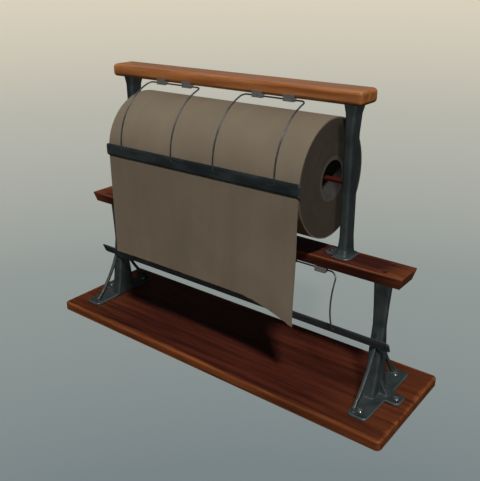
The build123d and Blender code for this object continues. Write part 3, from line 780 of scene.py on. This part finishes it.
def screw_shape():
    """Slotted screws standing on points: a domed or flat head, a slot turned at random, and a shank."""
    shape = Shape("slotted screws", {
        "Head Radius": ("Float", 0.004), "Head Height": ("Float", 0.002), "Shank Radius": ("Float", 0.002),
        "Shank Length": ("Float", 0.01), "Slot Width": ("Float", 0.001), "Slot Depth": ("Float", 0.001),
        "Facing": ("Float", 0.0), "Seed": ("Int", 1)})
    radius = shape.given("Head Radius")
    height = shape.given("Head Height")
    ball = shape.node("GeometryNodeMeshUVSphere", None, {"Segments": 32, "Rings": 20, "Radius": 1}, "Mesh")
    x, y, z = shape.axes(shape.node("GeometryNodeInputPosition"))
    dome = shape.vector(x * radius, y * radius, z.high(0.0) ** 0.7 * height)
    head = shape.node("GeometryNodeSetPosition", None, {"Geometry": ball, "Position": dome})
    head = shape.node("GeometryNodeMergeByDistance", None, {"Geometry": head, "Distance": 1e-6})
    bar = shape.node("GeometryNodeMeshCube", None, {
        "Size": shape.vector(radius * 2.4, shape.given("Slot Width"), shape.given("Slot Depth") * 2)}, "Mesh")
    up = shape.vector(0, 0, height)
    bar = shape.node("GeometryNodeTransform", None, {"Geometry": bar, "Translation": up})
    slotted = shape.node("GeometryNodeMeshBoolean", {"operation": "DIFFERENCE", "solver": "EXACT"}, {
        "Mesh 1": head, "Mesh 2": bar}, "Mesh")
    shank = shape.node("GeometryNodeMeshCylinder", None, {
        "Vertices": 20, "Radius": shape.given("Shank Radius"), "Depth": shape.given("Shank Length")}, "Mesh")
    down = shape.vector(0, 0, shape.given("Shank Length") * -0.5)
    shank = shape.node("GeometryNodeTransform", None, {"Geometry": shank, "Translation": down})
    screw = shape.tree.nodes.new("GeometryNodeJoinGeometry")
    shape.tree.links.new(slotted.socket, screw.inputs[0])
    shape.tree.links.new(shank.socket, screw.inputs[0])
    turn = shape.node("FunctionNodeRandomValue", {"data_type": "FLOAT"}, {
        2: 0.0, 3: math.pi, "Seed": shape.given("Seed")}, 1)
    aim = shape.vector(shape.given("Facing"), 0, turn)
    stood = shape.node("GeometryNodeInstanceOnPoints", None, {
        "Points": shape.given("Geometry"), "Instance": Value(shape, screw.outputs[0]), "Rotation": aim})
    shape.end(stood, bright_screw)
    return shape


screws = screw_shape()


def screw_set(name, node, slot, material, face, head_radius, head_height, shank_radius, seed):
    """Screws in place of a node's solids, standing up or, with face -1, hanging head down."""
    boxes = solid_places(node)
    places = []
    for low, high in boxes:
        seat = high.z - head_height if face > 0 else low.z + head_height
        places.append(((low.x + high.x) / 2, (low.y + high.y) / 2, seat))
    low, high = boxes[0]
    piece = screws.make(
        name, points_mesh(name, places), Head_Radius=head_radius, Head_Height=head_height,
        Shank_Radius=shank_radius, Shank_Length=high.z - low.z - head_height, Slot_Width=head_radius * 0.26,
        Slot_Depth=head_height * 0.55, Facing=0.0 if face > 0 else math.pi, Seed=seed)
    piece.data.shade_smooth()
    piece.data.set_sharp_from_angle(angle=math.radians(35))
    return show(piece, "frame", slot, material, node)


round_head = {"head_radius": 0.0045, "head_height": 0.0028, "shank_radius": 0.002}
flush_head = {"head_radius": 0.0048, "head_height": 0.0010, "shank_radius": 0.002}
small_head = {"head_radius": 0.0032, "head_height": 0.0018, "shank_radius": 0.0014}
screw_set("foot_screw_heads", "foot_screws", "bright_screw", bright_screw, face=1, seed=3, **round_head)
screw_set("ear_screw_heads", "upright_ear_screws", "dark_screw", dark_screw, face=1, seed=5, **round_head)
leg_top_heads = screw_set(
    "leg_top_screw_heads", "leg_top_screws", "dark_screw", stained_screw, face=1, seed=9, **flush_head)
upper_clip_heads = screw_set(
    "upper_clip_screw_heads", "upper_clip_screws", "dark_screw", dark_screw, face=-1, seed=13, **small_head)
screw_set(
    "lower_clip_screw_heads", "lower_clip_screws", "dark_screw", dark_screw, face=-1, seed=17, **small_head)


# Solids that keep their own shape

plain = {
    "base_board": base_wood, "middle_board": middle_wood, "top_bar": bar_wood, "top_bar_plugs": bar_wood,
    "spindle_rod": rod_paint, "roll_core": core_board, "core_hub_left": hub_wood, "core_hub_right": hub_wood,
    "upright_bolts": dark_screw, "top_bar_screws": dark_screw}
for tier in ("upper", "lower"):
    plain[f"{tier}_wire_left"] = wire_steel
    plain[f"{tier}_wire_right"] = wire_steel
    for number in (1, 2, 3, 4):
        plain[f"{tier}_clip_{number}"] = clip_steel
for node, material in plain.items():
    nodes[node].data.materials.clear()
    nodes[node].data.materials.append(material)

# The photograph shows no shadow of these on the paper and iron below them
unshadowed = ["top_bar", "upper_wire_left", "upper_wire_right", "top_bar_screws", "spindle_rod"]
unshadowed += [f"upper_clip_{number}" for number in (1, 2, 3, 4)]
for piece in [nodes[node] for node in unshadowed] + [leg_top_heads, upper_clip_heads]:
    piece.visible_shadow = False


# Floor, light and camera

camera_place = (0.76393, -0.95054, 0.74980)
camera_turn = math.radians(37.92)
camera_tilt = math.radians(90 - 22.54)
camera_roll = math.radians(-0.18)
camera_lens = 48.12
floor_half = 30
floor_drop = 0.0005
wall_radius = 29
near_limit = 0.5


def floor_finish():
    """A pale floor that glows, so that shadows on it stay faint; warmer and lighter away from the camera."""
    finish = Finish("pale floor", Roughness=1.0, Emission_Strength=1.27)
    x = finish.x - camera_place[0]
    y = finish.y - camera_place[1]
    nearness = near_limit / (x * x + y * y).root().high(near_limit)
    tone = finish.ramp(
        nearness, (0.025, (0.50, 0.455, 0.36)), (0.125, (0.345, 0.341, 0.297)),
        (0.3, (0.203, 0.229, 0.219)), (0.6, (0.132, 0.161, 0.170)))
    finish.set("Emission Color", tone)
    finish.set("Base Color", finish.mix(0.88, tone, (0, 0, 0)))
    return finish.material


floor_mesh = bpy.data.meshes.new("floor")
floor_corners = [(x * floor_half, y * floor_half, 0) for x, y in ((-1, -1), (1, -1), (1, 1), (-1, 1))]
floor_mesh.from_pydata(floor_corners, [], [(0, 1, 2, 3)])
floor = link("studio_floor", floor_mesh)
floor.location.z = -floor_drop
floor_mesh.materials.append(floor_finish())

wall_finish = Finish("pale backdrop", Base_Color=(0, 0, 0, 1), Roughness=1.0, Emission_Strength=1.0)
wall_finish.set("Emission Color", (0.56, 0.52, 0.425, 1))
wall_mesh = bpy.data.meshes.new("backdrop")
wall_shape = bmesh.new()
bmesh.ops.create_uvsphere(wall_shape, u_segments=64, v_segments=32, radius=wall_radius)
wall_shape.to_mesh(wall_mesh)
wall_shape.free()
wall_mesh.materials.append(wall_finish.material)
wall = link("studio_backdrop", wall_mesh)

for surround in (floor, wall):
    surround.visible_shadow = False
    surround.visible_diffuse = False
    surround.visible_glossy = False


def lamp(name, source, energy, spread, glossy=True, passed=None, lit=None):
    """A sun; pieces in a passed collection don't block it, and it lights only those in a lit collection."""
    light = bpy.data.lights.new(name, "SUN")
    light.energy = energy
    light.angle = math.radians(spread)
    light.color = (1.0, 0.985, 0.96)
    holder = bpy.data.objects.new(name, light)
    holder.rotation_euler = (-Vector(source)).to_track_quat("-Z", "Y").to_euler()
    holder.visible_glossy = glossy
    if passed:
        holder.light_linking.blocker_collection = passed
    if lit:
        holder.light_linking.receiver_collection = lit
    scene.collection.objects.link(holder)


def light_group(name, state, pieces):
    """Pieces that a lamp takes in or leaves out."""
    group = bpy.data.collections.new(name)
    for piece in pieces:
        group.objects.link(piece)
    for entry in group.collection_objects:
        entry.light_linking.link_state = state
    return group


# In the photograph the castings' shadows are faint, and the shelf throws none on the legs
castings_alone = light_group("castings", "INCLUDE", castings)
not_castings = light_group("all but castings", "EXCLUDE", castings)
not_shelf = light_group("all but castings and shelf", "EXCLUDE", castings + [nodes["middle_board"]])
key_source = (0.5, -0.533, 1.0)
key_energy = 2.7
key_spread = 6
lamp("key light", key_source, key_energy / 2, key_spread, lit=not_castings)
lamp("key light past castings", key_source, key_energy / 2, key_spread, lit=not_castings, passed=not_castings)
lamp("key light on castings", key_source, key_energy, key_spread, lit=castings_alone, passed=not_shelf)
lamp("front fill", (0.57, -0.73, 0.1), energy=0.16, spread=30, glossy=False)
lamp("back fill", (-0.7, 0.7, 0.03), energy=1.2, spread=12, glossy=False, passed=not_castings)

# The lower blade leans forward, away from the key light, but isn't black in the photograph
lower_wires = [nodes["lower_wire_left"], nodes["lower_wire_right"]]
lower_cutter = light_group("lower cutter", "INCLUDE", [lower_blade] + lower_wires)
lamp("low fill", (0.6, -0.75, -0.3), energy=0.65, spread=20, glossy=False, lit=lower_cutter)

world = bpy.data.worlds.new("studio air")
world.use_nodes = True
air = world.node_tree.nodes["Background"]
air.inputs["Color"].default_value = (0.86, 0.87, 0.84, 1)
air.inputs["Strength"].default_value = 0.03
scene.world = world

camera_data = bpy.data.cameras.new("photo camera")
camera_data.sensor_fit = "HORIZONTAL"
camera_data.sensor_width = 36
camera_data.lens = camera_lens
camera = bpy.data.objects.new("photo camera", camera_data)
turn = Matrix.Rotation(camera_turn, 4, "Z") @ Matrix.Rotation(camera_tilt, 4, "X")
camera.matrix_world = Matrix.Translation(camera_place) @ turn @ Matrix.Rotation(camera_roll, 4, "Z")
scene.collection.objects.link(camera)
scene.camera = camera
scene.view_settings.view_transform = "Standard"
